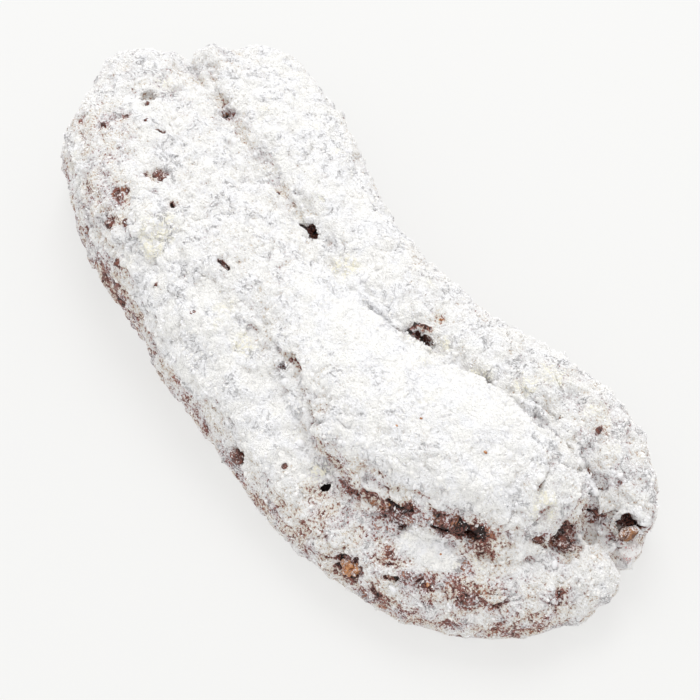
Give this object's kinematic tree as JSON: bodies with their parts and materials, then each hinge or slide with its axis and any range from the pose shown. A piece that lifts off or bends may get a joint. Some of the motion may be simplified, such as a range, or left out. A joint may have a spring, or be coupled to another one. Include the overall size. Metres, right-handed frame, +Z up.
{
  "type": "stollen loaf",
  "caption": "Whole folded fruit loaf with a long overlapping fold, rounded side rolls and a flat underside, dusted thickly with powdered sugar.",
  "frame": {"origin": "middle of the bounding box of the whole loaf, on the flat underside", "axes": "+X along the loaf towards the end where the fold stands highest, +Z up; the loaf bows towards -Y"},
  "size_m": [0.3148, 0.1384, 0.0621],
  "materials": {
    "sugared_crust": "brown baked crust under dry white powdered sugar",
    "raisin": "dark wrinkled skin, slightly glossy",
    "candied_peel": "baked candied orange peel",
    "almond_skin": "toasted almond skin",
    "candied_cherry": "candied cherry under a film of sugar"
  },
  "bodies": {
    "root": {"loaf": "sugared_crust", "raisin_1": "raisin", "raisin_2": "raisin", "raisin_3": "raisin", "raisin_4": "raisin", "raisin_5": "raisin", "raisin_6": "raisin", "raisin_7": "raisin", "raisin_8": "raisin", "raisin_9": "raisin", "raisin_10": "raisin", "orange_peel": "candied_peel", "almond": "almond_skin", "cherry": "candied_cherry"}
  },
  "joints": []
}
